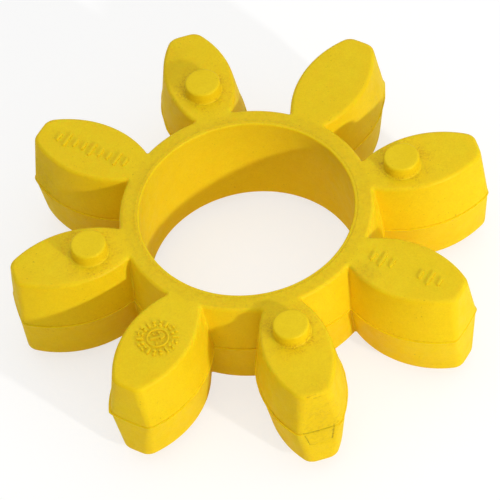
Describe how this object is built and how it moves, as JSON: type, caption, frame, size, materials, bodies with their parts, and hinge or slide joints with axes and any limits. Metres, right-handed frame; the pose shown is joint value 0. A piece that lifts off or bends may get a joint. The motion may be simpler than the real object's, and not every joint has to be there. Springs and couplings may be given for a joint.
{
  "type": "jaw coupling spider",
  "caption": "Yellow polyurethane spider for a curved-jaw shaft coupling: a centre ring with barrel-shaped legs and small round spacer dots on alternate faces.",
  "frame": {"origin": "on the bore axis, halfway through the thickness, which is the centre of the bounding box", "axes": "+Z along the bore axis, out of the side whose spacer dots are on the odd legs; +X along leg 1; legs are numbered anticlockwise seen from +Z"},
  "size_m": [0.065, 0.065, 0.0184],
  "materials": {
    "ring": "satin moulded yellow polyurethane",
    "leg": "satin moulded yellow polyurethane",
    "spacer_dot": "satin moulded yellow polyurethane"
  },
  "bodies": {
    "root": {"centre_ring": "ring", "leg_1": "leg", "leg_2": "leg", "leg_3": "leg", "leg_4": "leg", "leg_5": "leg", "leg_6": "leg", "leg_7": "leg", "leg_8": "leg", "spacer_dot_1": "spacer_dot", "spacer_dot_2": "spacer_dot", "spacer_dot_3": "spacer_dot", "spacer_dot_4": "spacer_dot", "spacer_dot_5": "spacer_dot", "spacer_dot_6": "spacer_dot", "spacer_dot_7": "spacer_dot", "spacer_dot_8": "spacer_dot"}
  },
  "joints": []
}
